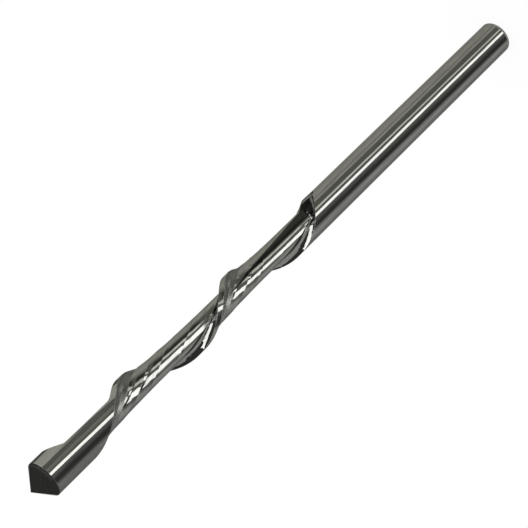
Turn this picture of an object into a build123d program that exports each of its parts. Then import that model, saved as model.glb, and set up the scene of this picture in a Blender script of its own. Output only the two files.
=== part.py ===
from build123d import *
import math
import os

# A one-piece spiral bit for wood and board: a plain round shank, one left-hand flute and a plain guide point.
# The bit stands on its shank end: its axis is Z, the point is up and the origin is at the centre of the shank end.
# All sizes are in millimetres and all angles in degrees. Angles round the bit start at its front, -Y, and grow
# the way the flute climbs, so a quarter turn further is -X.

# Blank
diameter = 3.175
overall_length = 63.5
point_angle = 96.0
shank_edge_break = 0.08

# Flute: shank_length is the height at which the helix of the lip crosses the front. The other lengths are taken
# along the axis, in the order wall, floor, heel and land.
shank_length = 29.2
flute_pitch = 13.2
core_diameter = 1.74
wall_run = 0.25
root_radius = 0.3
floor_width = 3.4
heel_rise = 0.33
heel_angle = 30.0
land_width = 0.7

# Passes: past the flat floor, the wheel ground the floor up to the heel in concave passes with ridges between
# them. Each share is the length of a pass as a part of this stretch, and the last pass takes what is left.
first_pass_share = 0.39
middle_pass_share = 0.26
middle_passes = 2

# Run-in: from the back to the front the flute gets deeper, above a wall with a level foot. On the front the lip
# climbs more slowly than its helix, and joins it at the end angle.
run_in_angle = 150.0
run_in_side_angle = 85.0
run_in_end_angle = 26.0
run_in_pitch = 10.7
run_in_back_wall = 1.2
run_in_heel_rise = 0.03

# Run-out: the flute ends as a flat beside the core, which a ramp closes below the point
nose_length = 9.77
ramp_gap = 1.35
ramp_angle = 29.0

# The cutter of the flute: how far it stands proud of the blank, where it enters, and how closely it is drawn
cutter_clearance = 0.2
entry_clearance = 0.05
run_in_step = 15.0
helix_step = 30.0
run_out_step = 15.0

radius = diameter / 2
core_radius = core_diameter / 2
entry_radius = radius + entry_clearance
cutter_radius = radius + cutter_clearance
shoulder_height = overall_length - radius / math.tan(math.radians(point_angle / 2))
run_out_angle = 360 * (shoulder_height - nose_length - shank_length) / flute_pitch
last_angle = run_out_angle + math.degrees(math.acos(core_radius / entry_radius))


def make_blank():
    """The rod before the flute is cut: cylinder, guide point and a broken edge at the shank end."""
    outline = Polyline(
        (0, 0),
        (radius - shank_edge_break, 0),
        (radius, shank_edge_break),
        (radius, shoulder_height),
        (0, overall_length),
        close=True,
    )
    return revolve(Plane.XZ * make_face(outline), Axis.Z)


def helix_height(angle):
    """Height of the helix that the cutting lip follows."""
    return shank_length + flute_pitch * angle / 360


def wall_foot_height(angle):
    """Height of the foot of the wall beside the lip: level in the run-in, then just past the helix."""
    return max(shank_length, helix_height(angle)) + wall_run


def lip_height(angle):
    """Height of the lip: level at the back of the run-in, slower than its helix at the side, then on it."""
    if angle < -run_in_side_angle:
        return wall_foot_height(angle) - run_in_back_wall
    angle_to_helix = max(0, run_in_end_angle - angle)
    return helix_height(angle) + (flute_pitch - run_in_pitch) * angle_to_helix / 360


def floor_radius(angle):
    """Distance of the floor from the axis: it sinks to the core in the run-in and leaves it on the flat."""
    if angle > run_out_angle:
        return core_radius / math.cos(math.radians(angle - run_out_angle))
    return core_radius + (entry_radius - core_radius) * (max(0, -angle) / run_in_angle) ** 3


def wall_and_root(lip, foot):
    """The wall from beyond the lip inwards to its foot, where it turns into the floor."""
    slope = (foot.Y - lip.Y) / max(radius - foot.X, root_radius)
    outer_end = Vector(cutter_radius, lip.Y - slope * cutter_clearance)
    inwards = (foot - outer_end).normalized()
    half_turn = math.radians(inwards.get_angle(Vector(0, 1))) / 2
    root_start = foot - inwards * root_radius * math.tan(half_turn)
    root_end = foot + Vector(0, root_radius * math.tan(half_turn))
    return [Line(outer_end, root_start), TangentArc(root_start, root_end, tangent=inwards)]


def heel_line(floor, edge):
    """The slanted heel from the end of the rising floor out past the edge of the land."""
    slope = math.tan(math.radians(heel_angle))
    depth_share = (radius - floor) / (radius - core_radius)
    foot_radius = floor + max(heel_rise * depth_share, run_in_heel_rise)
    foot = Vector(foot_radius, edge.Y - (radius - foot_radius) / slope)
    return Line(foot, Vector(cutter_radius, edge.Y + cutter_clearance / slope))


def rising_passes(start, end):
    """The passes from the end of the flat floor to the foot of the heel, each one steeper than the last."""
    shares = [first_pass_share + middle_pass_share * i for i in range(middle_passes + 1)]
    rise = end - start
    ridges = [start + Vector(rise.X * share**2, rise.Y * share) for share in shares]
    return [TangentArc(low, high, tangent=(0, 1)) for low, high in zip([start, *ridges], [*ridges, end])]


def flute_section(angle):
    """Face of the cutter in the half plane through the axis at one angle, drawn as radius and height."""
    floor = floor_radius(angle)
    foot = Vector(floor, wall_foot_height(angle))
    wall, root = wall_and_root(Vector(radius, lip_height(angle)), foot)
    heel = heel_line(floor, Vector(radius, helix_height(angle) + flute_pitch - land_width))
    flat_floor = Line(root @ 1, foot + Vector(0, floor_width))
    passes = rising_passes(flat_floor @ 1, heel @ 0)
    outside = Line(heel @ 1, wall @ 0)
    outline = [wall, root, flat_floor, *passes, heel, outside]
    return Rot(0, 0, -90 - angle) * (Plane.XZ * make_face(outline))


def spaced(first, last, step):
    """Angles from the first up to, but not with, the last, evenly spaced and no wider apart than the step."""
    count = math.ceil((last - first) / step)
    return [first + (last - first) * i / count for i in range(count)]


def make_ramp():
    """What the run-out leaves standing: a ramp that is a plane beside the flat and a cone round the rest."""
    reach = diameter + flute_pitch
    foot = shoulder_height - ramp_gap - radius / math.tan(math.radians(ramp_angle))
    top = foot + reach / math.tan(math.radians(ramp_angle))
    profile = Plane.XZ * make_face(Polyline((0, foot), (reach, top), (0, top), close=True))
    return revolve(profile, Axis.Z) + Rot(0, 0, -90 - run_out_angle) * extrude(profile, reach)


def make_flute_cutter():
    """Everything that the grinding of the flute takes away, with its run-in and run-out."""
    angles = spaced(-run_in_angle, 0, run_in_step)
    angles += spaced(0, run_out_angle, helix_step)
    angles += spaced(run_out_angle, last_angle, run_out_step)
    angles.append(last_angle)
    return loft([flute_section(angle) for angle in angles]) - make_ramp()


drill_bit = make_blank() - make_flute_cutter()
os.makedirs("parts", exist_ok=True)
export_step(drill_bit, "parts/drill_bit.step")
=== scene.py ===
import math

import bpy
from mathutils import Matrix, Vector

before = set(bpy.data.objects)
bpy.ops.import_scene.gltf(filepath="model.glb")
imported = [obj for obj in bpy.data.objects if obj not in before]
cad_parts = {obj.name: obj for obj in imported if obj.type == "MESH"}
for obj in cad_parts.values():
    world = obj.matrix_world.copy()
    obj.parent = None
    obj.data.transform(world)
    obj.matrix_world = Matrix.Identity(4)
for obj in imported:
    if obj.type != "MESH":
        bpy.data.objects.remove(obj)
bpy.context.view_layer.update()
bpy.context.scene.view_settings.view_transform = "Standard"

# The bit stands on its shank end. Angles round it start at its front, -Y, and grow towards -X. They are in
# degrees for the surroundings and in radians for the steel. Sizes of the bit and of the rings on the floor
# are in millimetres, and all other lengths are in metres.
mm = 0.001
shank_radius = 1.5875
shank_length = 29.2
flute_pitch = 13.2

# Camera: where it stands and its three axes, fitted to the outline of the bit
camera_place = Vector((0.0, -0.11469, 0.10512))
camera_right = Vector((-0.69985, -0.37091, -0.61044))
camera_down = Vector((-0.71429, 0.36331, 0.59816))
camera_ahead = Vector((0.0, 0.85466, -0.51920))
focal_length = 111.09
sensor_width = 36.0
nearest_seen = 0.001


def make_camera():
    data = bpy.data.cameras.new("camera")
    data.lens = focal_length
    data.sensor_width = sensor_width
    data.clip_start = nearest_seen
    camera = bpy.data.objects.new("camera", data)
    axes = Matrix((camera_right, -camera_down, -camera_ahead)).transposed()
    camera.matrix_world = Matrix.Translation(camera_place) @ axes.to_4x4()
    bpy.context.collection.objects.link(camera)
    bpy.context.scene.camera = camera


make_camera()


class Field:
    """A value that changes over a surface. Arithmetic with it adds math nodes to its tree."""

    def __init__(self, tree, socket):
        self.tree = tree
        self.socket = socket

    def math(self, operation, *others):
        return self.tree.add("Math", dict(enumerate((self, *others))), operation=operation)

    def __add__(self, other):
        return self.math("ADD", other)

    def __sub__(self, other):
        return self.math("SUBTRACT", other)

    def __rsub__(self, other):
        return self.tree.add("Math", {0: other, 1: self}, operation="SUBTRACT")

    def __mul__(self, other):
        return self.math("MULTIPLY", other)

    def step(self, start, end):
        """0 up to the start, 1 from the end on and smooth between them. The end may be the lower one."""
        limits = {"Value": self, "From Min": start, "From Max": end}
        return self.tree.add("MapRange", limits, interpolation_type="SMOOTHSTEP")

    def spread(self, low, high):
        """This value, which lies between 0 and 1, spread from low to high."""
        return self.tree.add("MapRange", {"Value": self, "To Min": low, "To Max": high})


class Tree:
    """The nodes of a new material or world."""

    def __init__(self, owner, output):
        owner.use_nodes = True
        self.nodes = owner.node_tree.nodes
        self.links = owner.node_tree.links
        self.nodes.clear()
        self.output = self.nodes.new(output)

    def plug(self, value, socket):
        if isinstance(value, Field):
            self.links.new(value.socket, socket)
        else:
            socket.default_value = value

    def add(self, kind, inputs, output=0, **settings):
        """Add a node with values or fields on its inputs, and give one of its outputs as a field."""
        node = self.nodes.new("ShaderNode" + kind)
        for name, setting in settings.items():
            setattr(node, name, setting)
        for key, value in inputs.items():
            self.plug(value, node.inputs[key])
        return Field(self, node.outputs[output])

    def show(self, shader):
        self.plug(shader, self.output.inputs["Surface"])


def add_material(thing, name):
    """Give an object a new material and return the material's tree."""
    material = bpy.data.materials.new(name)
    thing.data.materials.clear()
    thing.data.materials.append(material)
    return Tree(material, "ShaderNodeOutputMaterial")


def add_stage(name, points, faces):
    """Add a piece of the surroundings, which isn't part of the bit."""
    mesh = bpy.data.meshes.new(name)
    mesh.from_pydata(points, [], faces)
    thing = bpy.data.objects.new(name, mesh)
    bpy.context.collection.objects.link(thing)
    return thing


def grid_faces(rows, columns):
    """Faces of a grid whose points come row by row, one more in a row than there are columns."""
    width = columns + 1
    corners = [row * width + column for row in range(rows) for column in range(columns)]
    return [(i, i + 1, i + width + 1, i + width) for i in corners]


# Floor: a white sheet that looks almost evenly white but still takes the shadow of the bit
floor_half_width = 3.0
floor_colour = (0.8, 0.8, 0.8, 1)
floor_glow = 0.9


def make_floor():
    signs = [(-1, -1), (1, -1), (1, 1), (-1, 1)]
    corners = [(x * floor_half_width, y * floor_half_width, 0) for x, y in signs]
    floor = add_stage("floor", corners, [(0, 1, 2, 3)])
    tree = add_material(floor, "white_floor")
    camera_ray, glossy_ray, clear_ray = [
        tree.add("LightPath", {}, output=f"Is {kind} Ray") for kind in ("Camera", "Glossy", "Transmission")
    ]
    share = camera_ray.math("MAXIMUM", glossy_ray.math("MAXIMUM", clear_ray)) * floor_glow
    paint = tree.add("BsdfDiffuse", {"Color": floor_colour})
    tree.show(tree.add("MixShader", {0: share, 1: paint, 2: tree.add("Emission", {})}))


make_floor()


def show_in_reflections_only(thing):
    thing.visible_camera = False
    thing.visible_diffuse = False
    thing.visible_shadow = False
    thing.visible_transmission = False
    thing.visible_volume_scatter = False


def heading(angle):
    """Level direction at an angle in degrees from -Y towards -X."""
    turn = math.radians(angle)
    return Vector((-math.sin(turn), -math.cos(turn), 0))


# Brightness of what the steel reflects, where 1 is plain white and a lamp is a strip of light
dark = 0.12
grey = 0.38
soft = 0.65
pale = 1.05
light = 1.25
bright = 2.2
lamp = 5.0

# What the steel sees on the floor: plain strips of card and light on a grey ground. A strip is the angles at
# which it starts and ends, its brightness and how many degrees each of its edges takes to fade. A later strip
# covers an earlier one. A ring is a distance from the axis and the strips that cross it there. The higher a
# place on the bit, the further out is the ring that it reflects.
rims = [(180, 90, pale, 24), (180, 150, soft, 50), (-85, -180, pale, 30)]
shank_strips = [
    (68, 50, dark, 22),
    *rims,
    (17.5, 5.5, lamp, 2),
    (-12, -17.5, bright, 3),
    (-53, -62, pale, 5),
]
run_in_strips = [*rims, (58, 27, lamp, 2), (-6, -22, bright, 3)]
flute_strips = [*rims, (-32, -52, dark, 8), (50, 22, lamp, 2), (-9, -23, bright, 3)]
second_turn_strips = [*rims, (-32, -52, dark, 8), (54, 15, lamp, 2), (-9, -23, bright, 3)]
second_turn_end_strips = [*rims, (-36, -52, dark, 8), (44, 11, lamp, 2), (-12, -27, bright, 3)]
land_edge_strips = [*rims, (60, 40, dark, 14)]
land_strips = [*land_edge_strips, (16, -1, lamp, 2), (-12, -18, bright, 3)]
tip_strips = [
    (180, 80, soft, 22),
    (58, 42, dark, 20),
    (-19, -27, soft, 8),
    (-60, -120, light, 6),
    (10.5, -2, lamp, 2),
]
far_strips = [(100, 15, soft, 40), (-50, -180, dark, 40)]
rings = [
    (0, shank_strips),
    (45.2, shank_strips),
    (45.5, rims),
    (45.9, rims),
    (46.2, run_in_strips),
    (52, run_in_strips),
    (56, flute_strips),
    (71, flute_strips),
    (72.5, land_strips),
    (76.6, land_strips),
    (77.2, land_edge_strips),
    (80, land_edge_strips),
    (81, second_turn_strips),
    (86, second_turn_strips),
    (92, second_turn_end_strips),
    (108, second_turn_end_strips),
    (111, tip_strips),
    (165, tip_strips),
    (180, far_strips),
    (600, far_strips),
]

# The sheet that carries the strips lies just above the floor. All rings have points at the same angles. The
# sheet is neutral on its -X side and a little warmer, with less blue, on its +X side.
sheet_height = 0.0003
sheet_columns = 720
warm_blue_share = 0.92


def brightness(strips, angle):
    """Brightness of the floor at an angle, from the grey ground and the strips that lie on it."""
    level = grey
    for start, end, strength, fade in strips:
        outside = max(angle - start, end - angle, 0)
        level += (strength - level) * max(0, 1 - outside / fade)
    return level


def sheet_point(angle, distance):
    """A point on the line along the floor that the shank reflects where its side faces half the angle."""
    on_shank = heading(angle / 2) * shank_radius
    return (on_shank + heading(angle) * distance) * mm + Vector((0, 0, sheet_height))


def sheet_colour(strips, angle):
    level = brightness(strips, angle)
    blue_share = 1.0 if angle > 0 else warm_blue_share
    return [level, level, level * blue_share, 1.0]


def make_floor_reflection():
    """The sheet with the strips on the floor."""
    angles = [180 - 360 * column / sheet_columns for column in range(sheet_columns + 1)]
    points, colours = [], []
    for distance, strips in rings:
        for angle in angles:
            points.append(sheet_point(angle, distance))
            colours += sheet_colour(strips, angle)
    sheet = add_stage("floor_reflection", points, grid_faces(len(rings) - 1, sheet_columns))
    layer = sheet.data.attributes.new("glow", "FLOAT_COLOR", "POINT")
    layer.data.foreach_set("color", colours)
    tree = add_material(sheet, "floor_reflection")
    glow = tree.add("Attribute", {}, output="Color", attribute_name="glow")
    tree.show(tree.add("Emission", {"Color": glow}))
    show_in_reflections_only(sheet)


make_floor_reflection()

# Side strip: its reflection follows the lip down the wall of the flute. It is drawn as directions from a
# point on the axis, each one an angle and a rise above level, and its width is an angle too.
side_strip_line = [
    (-102, 8), (-91, 13), (-80, 18), (-67, 21), (-56, 25), (-45, 29), (-32, 33), (-18, 37), (-4, 39),
]
side_strip_centre = Vector((0, 0, 0.038))
side_strip_distance = 1.0
side_strip_width = 8.0

# Upright cards: a card is its distance from the axis, its brightness and its outline. Each point of an
# outline is an angle and the rise above level at which the card's upper edge is seen from the flute.
flute_height = 0.036
front_card_distance = 1.5
front_card_outline = [
    (-85, 2), (-70, 6), (-58, 10), (-45, 13), (-30, 16), (-20, 19.5), (-10, 24.5), (5, 26.5),
    (20, 26), (35, 25.5), (45, 24.5), (65, 23), (90, 18), (108, 11), (120, 3),
]
side_flag_distance = 0.17
side_flag_brightness = 0.1
side_flag_outline = [(-150, -1), (-135, -1), (-120, -1), (-105, -1), (-90, -1)]
side_card_distance = 1.5
side_card_brightness = 1.3
side_card_outline = [(-122, 18), (-116, 18), (-112, 18), (-108, 18)]


def glowing_card(name, points, strength):
    """A ribbon of plain light or dark that only reflections show; its points come in pairs across it."""
    card = add_stage(name, points, grid_faces(len(points) // 2 - 1, 1))
    tree = add_material(card, name)
    tree.show(tree.add("Emission", {"Strength": strength}))
    show_in_reflections_only(card)


def sky_direction(angle, rise):
    """Direction at an angle from -Y towards -X, and a rise above level, both in degrees."""
    lift = math.radians(rise)
    return heading(angle) * math.cos(lift) + Vector((0, 0, math.sin(lift)))


def make_side_strip():
    line = [side_strip_centre + sky_direction(*point) * side_strip_distance for point in side_strip_line]
    half = math.tan(math.radians(side_strip_width / 2)) * side_strip_distance
    points = []
    for i, point in enumerate(line):
        ahead = line[min(i + 1, len(line) - 1)] - line[max(i - 1, 0)]
        across = ahead.cross(point - side_strip_centre).normalized() * half
        points += [point - across, point + across]
    glowing_card("side_strip", points, lamp)


def standing_card(name, distance, outline, strength):
    """An upright curved card that stands on the floor."""
    points = []
    for angle, rise in outline:
        foot = heading(angle) * distance
        height = flute_height + distance * math.tan(math.radians(rise))
        points += [foot, foot + Vector((0, 0, height))]
    glowing_card(name, points, strength)


make_side_strip()
standing_card("front_card", front_card_distance, front_card_outline, pale)
standing_card("side_flag", side_flag_distance, side_flag_outline, side_flag_brightness)
standing_card("side_card", side_card_distance, side_card_outline, side_card_brightness)


def radians(*angles):
    return [math.radians(angle) for angle in angles]


# Where the steel changes. Each pair is where a change starts and where it is complete: radii and heights in
# millimetres, angles in radians. Climb is the height above the helix of the lip. The lower heel is the part
# of the heel on the +X side, which is darkened as painted shade.
cylinder_radii = (1.56, 1.58)
wall_radii = (0.95, 1.05)
heel_radii = (1.0, 1.12)
heel_climbs = (10.8, 11.3)
lower_heel_angles = radians(6, -8)

# Margin: a rough edge zone of the flute, between two radii just inside the cylinder. It covers the +X side
# and ends a little past the front.
margin_inner_radii = (1.36, 1.4)
margin_outer_radii = (1.49, 1.53)
margin_angles = radians(22, 16)

# Shade: painted shade on the steel of the run-in, on the +X side of the bit, where the wall of the flute
# darkens its reflections. Its front edge lies nearer the front on the wall than on the floor. Its back edge
# is given at one height and comes nearer the front above it.
shade_front_angles = radians(-16, -20)
shade_wall_angle = math.radians(10)
shade_back_angles = radians(-46, -41)
shade_back_height = 35.5
shade_back_angle_per_mm = math.radians(7)


class Zones:
    """Where a point of the bit lies, as fields, and how far it is in each zone of the steel, from 0 to 1."""

    def __init__(self, tree):
        place = tree.add("TexCoord", {}, output="Object")
        parts = [tree.add("SeparateXYZ", {"Vector": place}, output=axis) for axis in "XYZ"]
        self.x, self.y, self.z = [part * (1 / mm) for part in parts]
        self.radius = (self.x * self.x + self.y * self.y).math("SQRT")
        self.turn = (self.x * -1.0).math("ARCTAN2", self.y * -1.0)
        above_lip = self.turn * (-flute_pitch / math.tau) + (self.z - shank_length)
        self.climb = above_lip.math("FLOORED_MODULO", flute_pitch)
        self.flute = 1.0 - self.radius.step(*cylinder_radii)
        self.wall = self.radius.step(*wall_radii)
        self.heel = self.climb.step(*heel_climbs) * (self.flute * self.radius.step(*heel_radii))
        self.lower_heel = self.heel * self.turn.step(*lower_heel_angles)
        self.margin = self.find_margin()
        self.shade = self.find_shade()

    def find_margin(self):
        between = self.radius.step(*margin_inner_radii) * (1.0 - self.radius.step(*margin_outer_radii))
        return between * self.turn.step(*margin_angles)

    # Painted shade of the run-in, from 0 to 1
    def find_shade(self):
        front = (self.turn - self.wall * shade_wall_angle).step(*shade_front_angles)
        shift = (self.z - shade_back_height) * shade_back_angle_per_mm
        back = (self.turn - shift).step(*shade_back_angles)
        return self.flute * front * back * (1.0 - self.margin)


# Lines of grinding: how fine they are, how they are drawn out along the shank or round the flute, and the
# even value between them
shank_line_scale = 14.0
shank_line_stretch = 0.03
flute_line_scale = 11.0
flute_line_climb_stretch = 0.3
flute_line_turn_stretch = 0.1
line_detail = 3.0
line_roughness = 0.6
line_middle = 0.5

# Grain: the fine mottling of the whole bit
grain_scale = 9.0
grain_detail = 4.0
grain_roughness = 0.7

# Worn edges: how far they are rounded, and how much the rounded and the flat normals differ there
worn_edge_radius = 0.00003
worn_edge_difference = (0.02, 0.2)

# Relief of the lines and the grain
relief_height = 0.0000015
relief_strength = 0.5
grain_relief = 0.15

# Roughness: polished steel with its grain, and what each zone adds
polished_roughness = (0.02, 0.05)
heel_added_roughness = 0.36
margin_added_roughness = 0.4
shaded_wall_added_roughness = 0.4

# Tone of the steel: 0 is black, 1 is half way to the palest steel and 2 is the palest steel. The grain, the
# lines, the zones and the worn edges change it. Of the zones, the lower heel and the run-in are darkened as
# painted shade.
palest_steel = (0.38, 0.38, 0.36, 1)
edge_on_tint = (0.48, 0.48, 0.48, 1)
black = (0, 0, 0, 1)
palest_share_at_tone_one = 0.5
grain_tones = (0.6, 1.4)
line_tones = (0.45, 1.55)
# Painted shade on the lower heel
lower_heel_painted_shade = 0.35
# Painted shade on the run-in, and a little more on its wall
shade_darkening = 0.85
shaded_wall_added_darkening = 0.07
worn_edge_lightening = 0.6


def noise(tree, place, scale, detail, roughness):
    """Noise at a place given by three fields."""
    vector = tree.add("CombineXYZ", dict(enumerate(place)))
    return tree.add("TexNoise", {"Vector": vector, "Scale": scale, "Detail": detail, "Roughness": roughness})


def grinding_lines(tree, zones):
    """Fine lines along the shank and round the flute. The heel has none."""
    along_place = (zones.x, zones.y, zones.z * shank_line_stretch)
    along = noise(tree, along_place, shank_line_scale, line_detail, line_roughness)
    climb = zones.climb * flute_line_climb_stretch
    turn = zones.turn * flute_line_turn_stretch
    round_axis = noise(tree, (zones.radius, climb, turn), flute_line_scale, line_detail, line_roughness)
    lines = round_axis * zones.flute + along * (1.0 - zones.flute)
    return zones.heel * (line_middle - lines) + lines


def worn_edges(tree, rounded):
    """1 where the rounded normal leaves the flat one, which is at sharp edges, and 0 elsewhere."""
    flat = tree.add("NewGeometry", {}, output="Normal")
    likeness = tree.add("VectorMath", {0: rounded, 1: flat}, output="Value", operation="DOT_PRODUCT")
    return (1.0 - likeness).step(*worn_edge_difference)


def steel_roughness(zones, grain):
    shaded_wall = zones.wall * zones.shade
    roughness = shaded_wall * shaded_wall_added_roughness + grain.spread(*polished_roughness)
    return zones.heel * heel_added_roughness + (zones.margin * margin_added_roughness + roughness)


def steel_tone(zones, grain, lines, edges):
    # Painted shade darkens the lower heel.
    tone = grain.spread(*grain_tones) * (zones.lower_heel * -lower_heel_painted_shade + 1.0)
    # Painted shade darkens the run-in, and its wall a little more.
    shade_change = zones.wall * -shaded_wall_added_darkening + -shade_darkening
    tone = tone * (zones.shade * shade_change + 1.0)
    tone = tone * (edges * worn_edge_lightening + 1.0)
    return tone * lines.spread(*line_tones)


def steel_colour(tree, tone):
    share = tone * palest_share_at_tone_one
    inputs = {"A": black, "B": palest_steel, "Factor": share}
    return tree.add("Mix", inputs, output="Result", data_type="RGBA")


def relief_normal(tree, rounded, grain, lines):
    height = lines + grain * grain_relief
    inputs = {"Strength": relief_strength, "Distance": relief_height, "Height": height, "Normal": rounded}
    return tree.add("Bump", inputs)


def dress_in_steel(thing):
    """Ground steel, from one plain metal shader whose colour, roughness and relief change over the bit."""
    tree = add_material(thing, "ground_steel")
    zones = Zones(tree)
    grain = noise(tree, (zones.x, zones.y, zones.z), grain_scale, grain_detail, grain_roughness)
    lines = grinding_lines(tree, zones)
    rounded = tree.add("Bevel", {"Radius": worn_edge_radius})
    tone = steel_tone(zones, grain, lines, worn_edges(tree, rounded))
    inputs = {
        "Metallic": 1.0,
        "Specular Tint": edge_on_tint,
        "Base Color": steel_colour(tree, tone),
        "Roughness": steel_roughness(zones, grain),
        "Normal": relief_normal(tree, rounded, grain, lines),
    }
    tree.show(tree.add("BsdfPrincipled", inputs))


dress_in_steel(bpy.data.objects["drill_bit"])

# World: its colour, and its brightness where it lights the floor and where the steel reflects it
sky_colour = (1, 1, 1, 1)
daylight = 1.3
reflected_sky = dark


def make_world():
    """Soft white light all round, which the steel sees as a dark room above the floor."""
    world = bpy.data.worlds.new("world")
    bpy.context.scene.world = world
    tree = Tree(world, "ShaderNodeOutputWorld")
    strength = tree.add("LightPath", {}, output="Is Glossy Ray").spread(daylight, reflected_sky)
    tree.show(tree.add("Background", {"Color": sky_colour, "Strength": strength}))


make_world()
